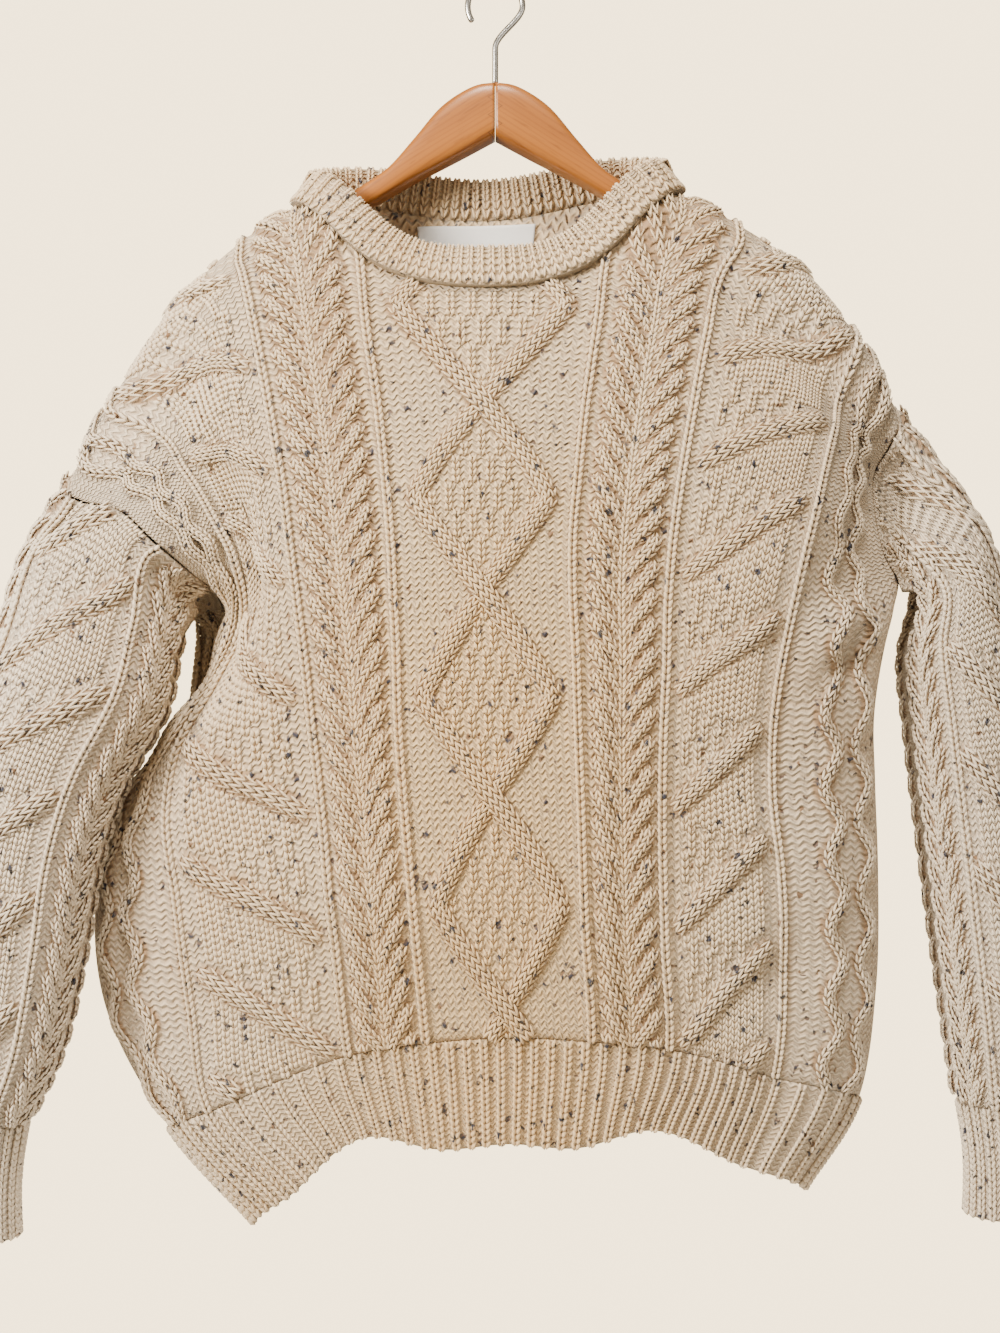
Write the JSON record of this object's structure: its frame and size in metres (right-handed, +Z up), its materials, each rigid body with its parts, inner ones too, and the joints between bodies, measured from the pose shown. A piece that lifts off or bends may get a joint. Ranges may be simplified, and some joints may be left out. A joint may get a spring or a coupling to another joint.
{
  "type": "fisherman sweater on a wooden hanger",
  "caption": "Cable-knit wool pullover with ribbed neckband, hem and cuffs, hung on a contoured wooden hanger with a wire hook; neck, hem and sleeves open, soft folds at the arms.",
  "frame": {"origin": "inside top of the hanger's hook, where it rests on its rail", "axes": "+Z up, the garment's front faces -Y, +X to the right of someone who looks at its front"},
  "size_m": [0.7968, 0.1704, 0.8661],
  "materials": {
    "wool": "chunky undyed knit, tweed flecks",
    "label": "plain woven satin, blank",
    "wood": "varnished, warm orange-brown",
    "steel": "polished wire"
  },
  "bodies": {
    "root": {"front": "wool", "back": "wool", "hem_rib_front": "wool", "hem_rib_back": "wool", "sleeve_left": "wool", "sleeve_right": "wool", "cuff_left": "wool", "cuff_right": "wool", "neckband": "wool", "label": "label", "hanger_arm_left": "wood", "hanger_arm_right": "wood", "hook": "steel"}
  },
  "joints": []
}
